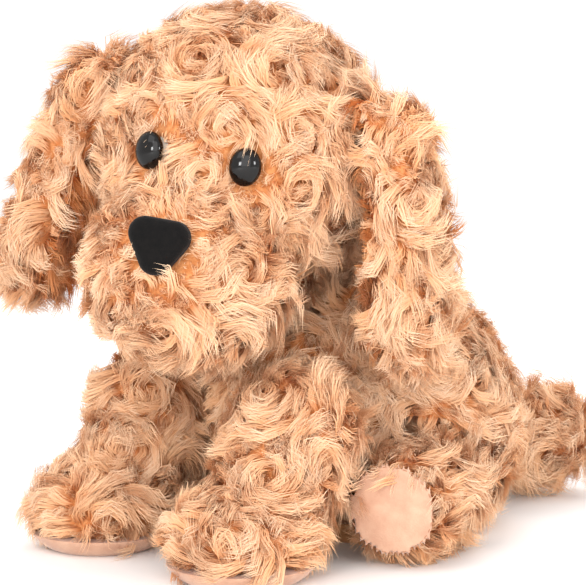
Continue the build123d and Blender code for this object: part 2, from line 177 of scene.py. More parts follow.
# On each lock: the arm from the rosette centre, flat on the backing, and the lock's own chances
nearest_rosette = add(pile, "GeometryNodeSampleNearest", {"Geometry": rosettes}, domain="POINT").outputs[0]
rosette_centre = add(pile, "GeometryNodeSampleIndex",
                     {"Geometry": rosettes, 1: place, "Index": nearest_rosette},
                     data_type="FLOAT_VECTOR").outputs[0]
rosette_chance = add(pile, "GeometryNodeSampleIndex", {
    "Geometry": rosettes, "Index": nearest_rosette,
    1: add(pile, "FunctionNodeRandomValue", {"Seed": 5}, data_type="FLOAT").outputs[1]},
    data_type="FLOAT").outputs[0]
from_centre = add(pile, "ShaderNodeVectorMath", {0: place, 1: rosette_centre},
                  operation="SUBTRACT").outputs[0]
lifted = add(pile, "ShaderNodeVectorMath", {0: from_centre, 1: lock_normal},
             operation="DOT_PRODUCT").outputs[1]
lift = add(pile, "ShaderNodeVectorMath", {0: lock_normal, "Scale": lifted}, operation="SCALE").outputs[0]
arm = add(pile, "ShaderNodeVectorMath", {0: from_centre, 1: lift}, operation="SUBTRACT").outputs[0]
turned_back = add(pile, "ShaderNodeMath", {0: rosette_chance, 1: 0.5}, operation="GREATER_THAN").outputs[0]
spin = add(pile, "ShaderNodeMath", {0: turned_back, 1: 2.0, 2: -1.0}, operation="MULTIPLY_ADD").outputs[0]
lock_chance = [add(pile, "FunctionNodeRandomValue", {"Seed": 11 + i}, data_type="FLOAT").outputs[1]
               for i in range(3)]
lock_spin = add(pile, "ShaderNodeMath", {
    0: spin, 1: add(pile, "ShaderNodeMath", {0: lock_chance[0], 1: 2.0, 2: -0.35},
                    operation="MULTIPLY_ADD").outputs[0]}, operation="MULTIPLY").outputs[0]
lock_rise = add(pile, "ShaderNodeMath", {0: lock_chance[1], 1: 0.9, 2: 0.45},
                operation="MULTIPLY_ADD").outputs[0]
rosette_part = add(pile, "ShaderNodeMath", {0: rosette_chance, 1: 0.25}, operation="MULTIPLY").outputs[0]
lock_tone = add(pile, "ShaderNodeMath", {0: lock_chance[2], 1: 0.5, 2: rosette_part},
                operation="MULTIPLY_ADD").outputs[0]

# Strand roots take their lock's values with them
strand_seed = add(pile, "ShaderNodeMath", {0: given["Layer"], 1: 7.0, 2: given["Seed"]},
                  operation="MULTIPLY_ADD").outputs[0]
strand_density = add(pile, "ShaderNodeMath", {0: given["Density"], 1: coat}, operation="MULTIPLY").outputs[0]
roots = add(pile, "GeometryNodeDistributePointsOnFaces", {
    "Mesh": backing, "Density": strand_density, "Seed": strand_seed}).outputs["Points"]
nearest_lock = add(pile, "GeometryNodeSampleNearest", {"Geometry": locks}, domain="POINT").outputs[0]
carried = (("Root", "VECTOR", place), ("Out", "VECTOR", lock_normal), ("Arm", "VECTOR", arm),
           ("Spin", "FLOAT", lock_spin), ("Rise", "FLOAT", lock_rise), ("Tone", "FLOAT", lock_tone),
           ("Coat", "FLOAT", lock_coat))
root_capture = add(pile, "GeometryNodeCaptureAttribute")
pile.links.new(roots, root_capture.inputs[0])
for i, (name, kind, value) in enumerate(carried):
    root_capture.capture_items.new(kind, name)
    sampled = add(pile, "GeometryNodeSampleIndex", {"Geometry": locks, 1: value, "Index": nearest_lock},
                  data_type="FLOAT_VECTOR" if kind == "VECTOR" else "FLOAT").outputs[0]
    pile.links.new(sampled, root_capture.inputs[i + 1])
root_capture.capture_items.new("VECTOR", "Strand")
pile.links.new(place, root_capture.inputs[len(carried) + 1])
root_capture.capture_items.new("VECTOR", "Chance")
pile.links.new(add(pile, "FunctionNodeRandomValue", {"Seed": 23}, data_type="FLOAT_VECTOR").outputs[0],
               root_capture.inputs[len(carried) + 2])
lock_root, out, arm, spin, rise, tone, strand_coat, strand_root, chance = list(root_capture.outputs)[1:10]

# The ribbon: X runs from root to tip, Y across, and it narrows to a point
ribbon = add(pile, "GeometryNodeMeshGrid", {"Size X": 1.0, "Size Y": 1.0, "Vertices X": RIBBON_SEGMENTS + 1,
                                            "Vertices Y": 2}).outputs[0]
ribbon_place = add(pile, "ShaderNodeSeparateXYZ", {0: place}).outputs
along = add(pile, "ShaderNodeMath", {0: ribbon_place[0], 1: 0.5}, operation="ADD").outputs[0]
narrowing = add(pile, "ShaderNodeMath", {0: along, 1: TAPER}, operation="POWER").outputs[0]
half_width = add(pile, "ShaderNodeMath", {
    0: ribbon_place[1], 1: add(pile, "ShaderNodeMath", {0: 1.0, 1: narrowing},
                               operation="SUBTRACT").outputs[0]},
    operation="MULTIPLY").outputs[0]
ribbon = add(pile, "GeometryNodeSetPosition", {
    "Geometry": ribbon, "Position": add(pile, "ShaderNodeCombineXYZ",
                                        {0: along, 1: half_width}).outputs[0]}).outputs[0]
ribbon = add(pile, "GeometryNodeMergeByDistance", {"Geometry": ribbon, "Distance": 0.001}).outputs[0]
ribbon_capture = add(pile, "GeometryNodeCaptureAttribute", {0: ribbon})
ribbon_capture.capture_items.new("VECTOR", "Ribbon")
pile.links.new(place, ribbon_capture.inputs[1])
strands = add(pile, "GeometryNodeInstanceOnPoints", {
    "Points": root_capture.outputs[0], "Instance": ribbon_capture.outputs[0]}).outputs[0]
strands = add(pile, "GeometryNodeRealizeInstances", {"Geometry": strands}).outputs[0]

# Bends each ribbon round its rosette, up off the backing, in towards its lock and down under its weight
along, across, _ = add(pile, "ShaderNodeSeparateXYZ", {0: ribbon_capture.outputs[1]}).outputs
chance_x, chance_y, chance_z = add(pile, "ShaderNodeSeparateXYZ", {0: chance}).outputs
length_share = add(pile, "ShaderNodeMath", {0: chance_x, 1: 0.45, 2: 0.7},
                   operation="MULTIPLY_ADD").outputs[0]
coat_share = add(pile, "ShaderNodeMath", {0: strand_coat, 1: 0.75, 2: 0.25},
                 operation="MULTIPLY_ADD").outputs[0]
length = add(pile, "ShaderNodeMath", {0: given["Length"], 1: length_share}, operation="MULTIPLY").outputs[0]
length = add(pile, "ShaderNodeMath", {0: length, 1: coat_share}, operation="MULTIPLY").outputs[0]
travelled = add(pile, "ShaderNodeMath", {0: length, 1: along}, operation="MULTIPLY").outputs[0]
arm_length = add(pile, "ShaderNodeVectorMath", {0: arm}, operation="LENGTH").outputs[1]
bend_radius = add(pile, "ShaderNodeMath", {0: arm_length, 1: TIGHTEST_BEND}, operation="MAXIMUM").outputs[0]
angle = add(pile, "ShaderNodeMath", {0: travelled, 1: bend_radius}, operation="DIVIDE").outputs[0]
angle = add(pile, "ShaderNodeMath", {0: angle, 1: spin}, operation="MULTIPLY").outputs[0]
swung = add(pile, "ShaderNodeVectorRotate", {"Vector": arm, "Axis": out, "Angle": angle},
            rotation_type="AXIS_ANGLE").outputs[0]
sideways = add(pile, "ShaderNodeVectorMath", {0: swung}, operation="NORMALIZE").outputs[0]
phase = add(pile, "ShaderNodeMath", {0: tone, 1: 9.0}, operation="MULTIPLY").outputs[0]
wave = add(pile, "ShaderNodeMath", {0: along, 1: 5.0, 2: phase}, operation="MULTIPLY_ADD").outputs[0]
wave = add(pile, "ShaderNodeMath", {0: wave}, operation="SINE").outputs[0]
wave = add(pile, "ShaderNodeMath", {0: wave, 1: given["Spread"], 2: given["Spread"]},
           operation="MULTIPLY_ADD").outputs[0]
outward = add(pile, "ShaderNodeMath", {0: wave, 1: travelled}, operation="MULTIPLY").outputs[0]
outward = add(pile, "ShaderNodeVectorMath", {0: sideways, "Scale": outward}, operation="SCALE").outputs[0]
path = add(pile, "ShaderNodeVectorMath", {0: swung, 1: arm}, operation="SUBTRACT").outputs[0]
path = add(pile, "ShaderNodeVectorMath", {0: path, 1: outward}, operation="ADD").outputs[0]
path = add(pile, "ShaderNodeVectorMath", {0: path, 1: lock_root}, operation="ADD").outputs[0]
left_over = add(pile, "ShaderNodeMath", {0: 2.0, 1: along}, operation="SUBTRACT").outputs[0]
arch = add(pile, "ShaderNodeMath", {0: along, 1: left_over}, operation="MULTIPLY").outputs[0]
height = add(pile, "ShaderNodeMath", {0: rise, 1: given["Rise"]}, operation="MULTIPLY").outputs[0]
height = add(pile, "ShaderNodeMath", {0: height, 1: coat_share}, operation="MULTIPLY").outputs[0]
height = add(pile, "ShaderNodeMath", {0: height, 1: arch}, operation="MULTIPLY").outputs[0]
path = add(pile, "ShaderNodeVectorMath", {
    0: path, 1: add(pile, "ShaderNodeVectorMath", {0: out, "Scale": height}, operation="SCALE").outputs[0]},
    operation="ADD").outputs[0]
apart = add(pile, "ShaderNodeVectorMath", {0: strand_root, 1: lock_root}, operation="SUBTRACT").outputs[0]
gathered = add(pile, "ShaderNodeMath", {0: along, 1: -GATHERING, 2: 1.0}, operation="MULTIPLY_ADD").outputs[0]
apart = add(pile, "ShaderNodeVectorMath", {0: apart, "Scale": gathered}, operation="SCALE").outputs[0]
path = add(pile, "ShaderNodeVectorMath", {0: path, 1: apart}, operation="ADD").outputs[0]
stray = add(pile, "ShaderNodeVectorMath", {0: chance, 1: (0.5, 0.5, 0.5)}, operation="SUBTRACT").outputs[0]
stray = add(pile, "ShaderNodeVectorMath", {
    0: stray, "Scale": add(pile, "ShaderNodeMath", {0: travelled, 1: 0.5}, operation="MULTIPLY").outputs[0]},
    operation="SCALE").outputs[0]
path = add(pile, "ShaderNodeVectorMath", {0: path, 1: stray}, operation="ADD").outputs[0]
fall = add(pile, "ShaderNodeMath", {0: along, 1: along}, operation="MULTIPLY").outputs[0]
fall = add(pile, "ShaderNodeMath", {0: fall, 1: given["Droop"]}, operation="MULTIPLY").outputs[0]
fall = add(pile, "ShaderNodeMath", {0: fall, 1: -1.0}, operation="MULTIPLY").outputs[0]
path = add(pile, "ShaderNodeVectorMath", {0: path, 1: add(pile, "ShaderNodeCombineXYZ",
                                                          {2: fall}).outputs[0]},
           operation="ADD").outputs[0]
roll = add(pile, "ShaderNodeMath", {0: chance_y, 1: 1.2, 2: -0.6}, operation="MULTIPLY_ADD").outputs[0]
tilt = add(pile, "ShaderNodeVectorMath", {0: out, "Scale": roll}, operation="SCALE").outputs[0]
broad = add(pile, "ShaderNodeVectorMath", {0: sideways, 1: tilt}, operation="ADD").outputs[0]
broad = add(pile, "ShaderNodeVectorMath", {0: broad}, operation="NORMALIZE").outputs[0]
half = add(pile, "ShaderNodeMath", {0: across, 1: given["Width"]}, operation="MULTIPLY").outputs[0]
broad = add(pile, "ShaderNodeVectorMath", {0: broad, "Scale": half}, operation="SCALE").outputs[0]
path = add(pile, "ShaderNodeVectorMath", {0: path, 1: broad}, operation="ADD").outputs[0]
path_x, path_y, path_z = add(pile, "ShaderNodeSeparateXYZ", {0: path}).outputs
path_z = add(pile, "ShaderNodeMath", {0: path_z, 1: FLOOR_GAP}, operation="MAXIMUM").outputs[0]
path = add(pile, "ShaderNodeCombineXYZ", {0: path_x, 1: path_y, 2: path_z}).outputs[0]
strands = add(pile, "GeometryNodeSetPosition", {"Geometry": strands, "Position": path}).outputs[0]

# The map that the colour is read from: root to tip one way, dark to light strands the other
strand_tone = add(pile, "ShaderNodeMath", {0: chance_z, 1: 0.25, 2: tone},
                  operation="MULTIPLY_ADD").outputs[0]
strand_tone = add(pile, "ShaderNodeMath", {0: strand_tone, 1: given["Tone"]}, operation="MULTIPLY",
                  use_clamp=True).outputs[0]
tone_map = add(pile, "ShaderNodeCombineXYZ", {0: along, 1: strand_tone}).outputs[0]
strands = add(pile, "GeometryNodeStoreNamedAttribute",
              {"Geometry": strands, "Name": "OFBake", "Value": tone_map},
              data_type="FLOAT2", domain="CORNER").outputs[0]
strands = add(pile, "GeometryNodeSetShadeSmooth", {"Geometry": strands}).outputs[0]
strands = add(pile, "GeometryNodeSetMaterial", {"Geometry": strands,
                                                "Material": given["Material"]}).outputs[0]
add(pile, "NodeGroupOutput", {"Geometry": strands})


# Backing: the knitted cloth that the pile is locked into, cut, sewn and stuffed to a firm round skin.
# A skin lies a little inside its cover, so that the tips of the pile reach the cover's outside.
def link(name, mesh):
    """A new object at the origin that holds this mesh."""
    made = bpy.data.objects.new(name, mesh)
    bpy.context.scene.collection.objects.link(made)
    return made


def settle(piece):
    """Turns a piece and its modifiers into a plain mesh."""
    depsgraph = bpy.context.evaluated_depsgraph_get()
    mesh = bpy.data.meshes.new_from_object(piece.evaluated_get(depsgraph), preserve_all_data_layers=True,
                                           depsgraph=depsgraph)
    piece.modifiers.clear()
    piece.data = mesh
    return piece


def backing_of(name, nodes, voxel, inset, rounds, material):
    """One closed, softened skin round these solids, drawn in by inset."""
    joined = bmesh.new()
    for node in nodes:
        one = bmesh.new()
        one.from_mesh(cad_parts[node].data)
        bmesh.ops.remove_doubles(one, verts=one.verts, dist=1e-6)
        merged = bpy.data.meshes.new(node + "_merged")
        one.to_mesh(merged)
        one.free()
        joined.from_mesh(merged)
    mesh = bpy.data.meshes.new(name)
    joined.to_mesh(mesh)
    joined.free()
    piece = link(name, mesh)
    remesh = piece.modifiers.new("remesh", "REMESH")
    remesh.mode, remesh.voxel_size = "VOXEL", voxel
    soften = piece.modifiers.new("soften", "SMOOTH")
    soften.factor, soften.iterations = 0.5, rounds
    if inset:
        drawn = piece.modifiers.new("drawn_in", "DISPLACE")
        drawn.mid_level, drawn.strength = 0.0, -inset
    settle(piece)
    piece.data.materials.clear()
    piece.data.materials.append(material)
    keep_outer(piece.data)
    piece.data.shade_smooth()
    return piece


def keep_outer(mesh):
    """Removes every loose part but the largest, and turns its faces outwards."""
    work = bmesh.new()
    work.from_mesh(mesh)
    left, parts = set(work.verts), []
    while left:
        found, edge = set(), [left.pop()]
        while edge:
            vertex = edge.pop()
            found.add(vertex)
            for e in vertex.link_edges:
                other = e.other_vert(vertex)
                if other in left:
                    left.discard(other)
                    edge.append(other)
        parts.append(found)
    parts.sort(key=len)
    bmesh.ops.delete(work, geom=[v for part in parts[:-1] for v in part], context="VERTS")
    bmesh.ops.recalc_face_normals(work, faces=work.faces)
    if work.calc_volume(signed=True) < 0:
        bmesh.ops.reverse_faces(work, faces=work.faces)
    work.to_mesh(mesh)
    work.free()


def points_of(mesh):
    """The mesh's vertices and their normals, as two arrays."""
    places, normals = np.empty((2, len(mesh.vertices) * 3))
    mesh.vertices.foreach_get("co", places)
    mesh.vertices.foreach_get("normal", normals)
    return places.reshape(-1, 3), normals.reshape(-1, 3)


def coat_of(piece, bald=(), bare_nodes=(), edge=(0.5, 5), steepest=-1.1):
    """How much pile grows at each vertex: none in the bald balls (mm) or where the skin faces down
    more than steepest, and short beside bare nodes."""
    places, normals = points_of(piece.data)
    coat = np.where(normals[:, 2] < steepest, 0.0, 1.0)
    for centre, radius in bald:
        gone = np.linalg.norm(places - np.array(centre) * MM, axis=1) < radius * MM
        coat[gone] = 0
    for node in bare_nodes:
        solid = bmesh.new()
        solid.from_mesh(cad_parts[node].data)
        tree = BVHTree.FromBMesh(solid)
        solid.free()
        away = np.array([tree.find_nearest(p)[3] for p in places.tolist()])
        share = np.clip((away / MM - edge[0]) / (edge[1] - edge[0]), 0, 1)
        coat = np.minimum(coat, share)
    return coat


def grow(name, skin, coat, body, slot, material, **sizes):
    """Pile on a skin, in as many pieces as its strands need. Sizes are the pile's inputs."""
    attribute = skin.data.attributes.get("coat") or skin.data.attributes.new("coat", "FLOAT", "POINT")
    attribute.data.foreach_set("value", np.asarray(coat, np.float32))
    skin.data.update_tag()
    areas = np.array([p.area for p in skin.data.polygons])
    shares = np.array([np.mean([coat[v] for v in p.vertices]) for p in skin.data.polygons])
    count = sizes["Density"] * float((areas * shares).sum())
    layers = int(np.ceil(count * STRAND_TRIANGLES / MOST_TRIANGLES))
    for layer in range(layers):
        piece = link(f"{name}_{layer + 1}" if layers > 1 else name, skin.data)
        grown = piece.modifiers.new("pile", "NODES")
        grown.node_group = pile
        for key, value in {**sizes, "Density": sizes["Density"] / layers, "Layer": layer,
                           "Material": material}.items():
            grown[pile_inputs[key]] = value
        settle(piece)
        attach(piece, body)
    skin.data.attributes.remove(skin.data.attributes["coat"])


def pile_finish(name, root, middle, tip, dull):
    """Polyester pile: dull at the root with painted shade, where light is lost deep in the pile, and pale and
    faintly silky at the tip.
    """
    material, tree, shader = new_material(name, Roughness=0.62, Sheen_Weight=0.12, Sheen_Roughness=0.5,
                                          Sheen_Tint=linear("#FFE9CC"), Specular_IOR_Level=0.12)
    u, v, _ = add(tree, "ShaderNodeSeparateXYZ", {
        0: add(tree, "ShaderNodeUVMap", uv_map="OFBake").outputs[0]}).outputs
    ramp = add(tree, "ShaderNodeValToRGB", {"Fac": u})
    ramp.color_ramp.interpolation = "EASE"
    # The root colour is painted shade, for the strands shading each other deep in the pile.
    ramp.color_ramp.elements[0].color = linear(root)
    ramp.color_ramp.elements[1].color = linear(tip)
    ramp.color_ramp.elements.new(0.34).color = linear(middle)
    tone = add(tree, "ShaderNodeMapRange", {"Value": v, "To Min": 1.0, "To Max": 0.0}).outputs[0]
    mixed = add(tree, "ShaderNodeMix", {0: tone, 6: ramp.outputs[0], 7: linear(dull)},
                data_type="RGBA", blend_type="MULTIPLY").outputs[2]
    tree.links.new(mixed, shader.inputs["Base Color"])
    return material


def shaded_backing_finish(name, dark, light, scale):
    """Knitted backing seen between the strands: fuzzy and mottled, and painted darker than the tips with the
    shade that falls between the strands.
    """
    material, tree, shader = new_material(name, Roughness=0.9, Sheen_Weight=0.2)
    where = add(tree, "ShaderNodeTexCoord").outputs["Object"]
    patches = add(tree, "ShaderNodeTexNoise", {"Vector": where, "Scale": scale, "Detail": 4.0}).outputs["Fac"]
    ramp = add(tree, "ShaderNodeValToRGB", {"Fac": patches})
    ramp.color_ramp.elements[0].position, ramp.color_ramp.elements[1].position = 0.35, 0.65
    ramp.color_ramp.elements[0].color, ramp.color_ramp.elements[1].color = linear(dark), linear(light)
    fuzz = add(tree, "ShaderNodeTexNoise", {"Vector": where, "Scale": 900.0}).outputs["Fac"]
    bump = add(tree, "ShaderNodeBump", {"Height": fuzz, "Strength": 0.6, "Distance": 0.0008})
    tree.links.new(ramp.outputs[0], shader.inputs["Base Color"])
    tree.links.new(bump.outputs[0], shader.inputs["Normal"])
    return material


# The first colour of each pile, at the root, is painted shade.
plush = pile_finish("polyester_rosette_pile", "#CF8853", "#E9BE97", "#F4DABE", "#F7DABD")
# The lining pile's darker, browner colours are painted shade, from the ear lying against the head.
shaded_lining_plush = pile_finish("polyester_lining_pile_in_shade", "#AD6234", "#D6965F", "#EAB98A", "#E6B48C")
# The backing's dark colours are painted shade from the pile around it.
backing = shaded_backing_finish("knitted_pile_backing_in_shade", "#B86E36", "#D6935C", 300.0)
COMMON = {"Density": 1400000.0, "Length": 0.014, "Rise": 0.007, "Width": 0.0006, "Rosette Spacing": 0.021,
          "Lock Spacing": 0.0036, "Droop": 0.002, "Spread": 0.22, "Tone": 1.0}
INSET, VOXEL = 7.5 * MM, 4 * MM   # how far a skin is drawn in, and the grain of its mesh

# Trunk: a pear-shaped body of the long pile, stuffed firmly with fibre round the pellet pouch.
# Its pile stops at the joints, where the legs, neck and tail are sewn on, and at the seat panel.
CHEST, SEAT, NECK, TAIL_ROOT = (0, -34, 88), (0, 41, 60), (0, -72, 150), (0, 112, 36)   # ball centres, mm
SHOULDER, HIP = (54, -89, 70), (73, -15, 31)   # the left one's centre, mm
SHOULDERS = [((s * SHOULDER[0], *SHOULDER[1:]), 31) for s in (1, -1)]
HIPS = [((s * HIP[0], *HIP[1:]), 28) for s in (1, -1)]
trunk = backing_of("trunk_skin", ["torso_cover", "torso_filling", "pellet_pouch", "pellet_fill",
                                  "seat_panel"],
                   VOXEL, INSET, 8, backing)
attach(trunk, "torso")
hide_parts("torso_cover", "torso_filling")
BESIDE_SOLE, SOLE_STEEPNESS = (0.5, 4), -0.8   # where pile beside flat cloth starts and is full, mm
coat = coat_of(trunk, SHOULDERS + HIPS + [(NECK, 36), (TAIL_ROOT, 20)], ["seat_panel"],
               BESIDE_SOLE, SOLE_STEEPNESS)
grow("trunk_pile", trunk, coat, "torso", "plush", plush, **{**COMMON, "Seed": 3})

# Neck: a short stuffed ball in the same pile, sewn on between trunk and head.
# The chin hides it when the head is down.
HEAD = (4, -79, 207)   # middle of the head's ball, mm
neck = backing_of("neck_skin", ["neck_cover", "neck_filling"], VOXEL, INSET, 6, backing)
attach(neck, "neck")
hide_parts("neck_cover", "neck_filling")
coat = coat_of(neck, [(CHEST, 50), (HEAD, 62)])
grow("neck_pile", neck, coat, "neck", "plush", plush, **{**COMMON, "Seed": 5})

# Head: one stuffed ball with the muzzle sewn to it, both in the long pile.
# The pile is clipped short round the eyes and the nose.
HEAD_INSET = 5.5 * MM
BESIDE_FACE = (3, 12)   # where the clipped pile starts and is full, mm from an eye or the nose
head = backing_of("head_skin", ["head_cover", "head_filling", "muzzle_cover", "muzzle_filling"],
                  VOXEL, HEAD_INSET, 12, backing)
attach(head, "head")
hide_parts("head_cover", "head_filling", "muzzle_cover", "muzzle_filling")
coat = coat_of(head, [(NECK, 36)], ["eye_left", "eye_right", "nose_pad"], BESIDE_FACE)
grow("head_pile", head, coat, "head", "plush", plush, **{**COMMON, "Rise": 0.006, "Seed": 8})

# Ears: long pads, lightly stuffed, that hang from a rolled seam at the side of the head.
# The side towards the head is lined with a shorter pile, painted darker and browner with the shade that falls
# between ear and head.
EAR_INSET = 6.5 * MM
HEAD_TURN, HEAD_TIP = radians(30), radians(9)
LINED = 0.8   # how squarely the skin must face the head to be lined
head_side = (Matrix.Rotation(HEAD_TURN, 3, "Z") @ Matrix.Rotation(HEAD_TIP, 3, "Y")
             @ Vector((1, 0, 0)))
NESTLE = {"left": 0.0, "right": 7 * MM}   # the right ear lies closer against the cheek
for side, s in (("left", 1), ("right", -1)):
    body = f"ear_{side}"
    ear = backing_of(f"{body}_skin", [f"{body}_plush", f"{body}_lining"], VOXEL, EAR_INSET, 6, backing)
    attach(ear, body)
    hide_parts(f"{body}_plush", f"{body}_lining")
    normals = points_of(ear.data)[1]
    inward = head_side * -s
    ear.data.transform(Matrix.Translation(inward * NESTLE[side]))
    facing = normals @ np.array(inward)
    coat = np.where(facing < LINED, 1.0, 0.0)
    grow(f"{body}_pile", ear, coat, body, "plush", plush,
         **{**COMMON, "Length": 0.015, "Rise": 0.0055, "Droop": 0.003, "Seed": 12 + s})
    # The lining pile is shorter, and its darker colours paint the shade between ear and head.
    grow(f"{body}_lining_pile", ear, 1 - coat, body, "ear_lining", shaded_lining_plush,
         **{**COMMON, "Length": 0.013, "Rise": 0.006, "Droop": 0.004, "Seed": 22 + s})

# Front legs: stuffed uprights in the same pile, sewn on at the shoulder.
# Their broad paws stand on flat suede soles, where the pile stops.
for side, s in (("left", 1), ("right", -1)):
    body = f"front_leg_{side}"
    leg = backing_of(f"{body}_skin", [f"{body}_cover", f"{body}_filling", f"{body}_sole"], VOXEL, INSET, 8,
                     backing)
    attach(leg, body)
    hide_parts(f"{body}_cover", f"{body}_filling")
    coat = coat_of(leg, [(CHEST, 48)], [f"{body}_sole"], BESIDE_SOLE, SOLE_STEEPNESS)
    grow(f"{body}_pile", leg, coat, body, "plush", plush, **{**COMMON, "Seed": 32 + s})

# Hind legs: short stuffed feet that point forwards, sewn on at the hip.
# Each has a round suede sole at the front, and the pile is short round it.
for side, s in (("left", 1), ("right", -1)):
    body = f"hind_leg_{side}"
    leg = backing_of(f"{body}_skin", [f"{body}_cover", f"{body}_filling", f"{body}_sole"], VOXEL, INSET, 6,
                     backing)
    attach(leg, body)
    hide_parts(f"{body}_cover", f"{body}_filling")
    coat = coat_of(leg, [(SEAT, 72)], [f"{body}_sole"], (5.5, 9))
    grow(f"{body}_pile", leg, coat, body, "plush", plush, **{**COMMON, "Seed": 42 + s})

# Tail: a stuffed stub sewn on low at the back.
# Its pile is the longest on the toy.
tail = backing_of("tail_skin", ["tail_cover", "tail_filling"], VOXEL, INSET, 6, backing)
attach(tail, "tail")
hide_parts("tail_cover", "tail_filling")
grow("tail_pile", tail, coat_of(tail, [(SEAT, 76)]), "tail", "plush", plush,
     **{**COMMON, "Length": 0.018, "Seed": 51})

# Soles: suede-like microfibre panels, sewn in under a turned edge with a row of small stitches.
# The nap lies in soft patches a few millimetres wide; the thread is a tone darker than the cloth.
def napped_finish(name, dark, light, patch, roughness, sheen):
    """Short brushed cloth: soft patches where the nap lies one way or the other, and a fine grain."""
    material, tree, shader = new_material(name, Roughness=roughness, Sheen_Weight=sheen, Sheen_Roughness=0.4,
                                          Specular_IOR_Level=0.2)
    where = add(tree, "ShaderNodeTexCoord").outputs["Object"]
    patches = add(tree, "ShaderNodeTexNoise", {"Vector": where, "Scale": 1 / (patch * MM), "Detail": 5.0,
                                               "Roughness": 0.6}).outputs["Fac"]
    ramp = add(tree, "ShaderNodeValToRGB", {"Fac": patches})
    ramp.color_ramp.elements[0].position, ramp.color_ramp.elements[1].position = 0.3, 0.7
    ramp.color_ramp.elements[0].color, ramp.color_ramp.elements[1].color = linear(dark), linear(light)
    grain = add(tree, "ShaderNodeTexNoise", {"Vector": where, "Scale": 1100.0, "Detail": 3.0}).outputs["Fac"]
    bump = add(tree, "ShaderNodeBump", {"Height": grain, "Strength": 0.5, "Distance": 0.0005})
    tree.links.new(ramp.outputs[0], shader.inputs["Base Color"])
    tree.links.new(bump.outputs[0], shader.inputs["Normal"])
    return material


suede = napped_finish("microfibre_suede", "#C0937A", "#D2AA90", 9, 0.85, 0.35)
thread = napped_finish("polyester_thread", "#A8775B", "#B98A6E", 2, 0.6, 0.1)
STITCH_LENGTH, STITCH_PITCH, STITCH_THICKNESS = 2.4 * MM, 3.6 * MM, 0.7 * MM
SEAM_POINTS, SEAM_START = 96, 30 * MM   # points round a seam, and how far out it is laid on from

# A running stitch: small rounded bars along a seam line
stitching = bpy.data.node_groups.new("running_stitch", "GeometryNodeTree")
stitching.interface.new_socket("Seam", in_out="INPUT", socket_type="NodeSocketGeometry")
for name, kind, value in (("Pitch", "Float", STITCH_PITCH), ("Stitch Length", "Float", STITCH_LENGTH),
                          ("Thickness", "Float", STITCH_THICKNESS), ("Material", "Material", None)):
    socket = stitching.interface.new_socket(name, in_out="INPUT", socket_type="NodeSocket" + kind)
    if value is not None:
        socket.default_value = value
stitching.interface.new_socket("Geometry", in_out="OUTPUT", socket_type="NodeSocketGeometry")
stitch_inputs = {item.name: item.identifier for item in stitching.interface.items_tree
                 if item.in_out == "INPUT"}
given = add(stitching, "NodeGroupInput").outputs
seam = add(stitching, "GeometryNodeMeshToCurve", {"Mesh": given["Seam"]}).outputs[0]
spaced = add(stitching, "GeometryNodeCurveToPoints", {"Curve": seam, "Length": given["Pitch"]}, mode="LENGTH")
bar = add(stitching, "GeometryNodeMeshUVSphere", {"Segments": 8, "Rings": 6, "Radius": 0.5}).outputs[0]
size = add(stitching, "ShaderNodeCombineXYZ", {0: given["Thickness"], 1: given["Thickness"],
                                               2: given["Stitch Length"]}).outputs[0]
way = add(stitching, "FunctionNodeAlignRotationToVector", {"Vector": spaced.outputs["Tangent"]},
          axis="Z").outputs[0]
bars = add(stitching, "GeometryNodeInstanceOnPoints", {
    "Points": spaced.outputs["Points"], "Instance": bar, "Rotation": way, "Scale": size}).outputs[0]
bars = add(stitching, "GeometryNodeRealizeInstances", {"Geometry": bars}).outputs[0]
bars = add(stitching, "GeometryNodeSetShadeSmooth", {"Geometry": bars}).outputs[0]
bars = add(stitching, "GeometryNodeSetMaterial", {"Geometry": bars, "Material": given["Material"]}).outputs[0]
add(stitching, "NodeGroupOutput", {"Geometry": bars})


def panel_of(name, node, body, material, voxel=1.0):
    """A cloth panel in its solid's place, with its edges softened."""
    piece = backing_of(name, [node], voxel * MM, 0, 3, material)
    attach(piece, body)
    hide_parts(node)
    return piece


def ring_of_stitches(name, panel, body, centre, out, radius):
    """A closed seam line round a point, laid on the outside of a panel, and its stitches."""
    surface = BVHTree.FromPolygons([v.co for v in panel.data.vertices],
                                   [p.vertices for p in panel.data.polygons])
    centre, out = Vector(centre) * MM, Vector(out).normalized()
    across = out.orthogonal().normalized()
    line = []
    for i in range(SEAM_POINTS):
        spoke = Matrix.Rotation(2 * pi * i / SEAM_POINTS, 3, out) @ across * (radius * MM)
        found = surface.ray_cast(centre + spoke + out * SEAM_START, -out)[0]
        line.append(found if found else centre + spoke)
    mesh = bpy.data.meshes.new(name)
    mesh.from_pydata(line, [(i, (i + 1) % SEAM_POINTS) for i in range(SEAM_POINTS)], [])
    piece = link(name, mesh)
    sewn = piece.modifiers.new("stitches", "NODES")
    sewn.node_group = stitching
    sewn[stitch_inputs["Material"]] = thread
    settle(piece)
    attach(piece, body)
    return piece


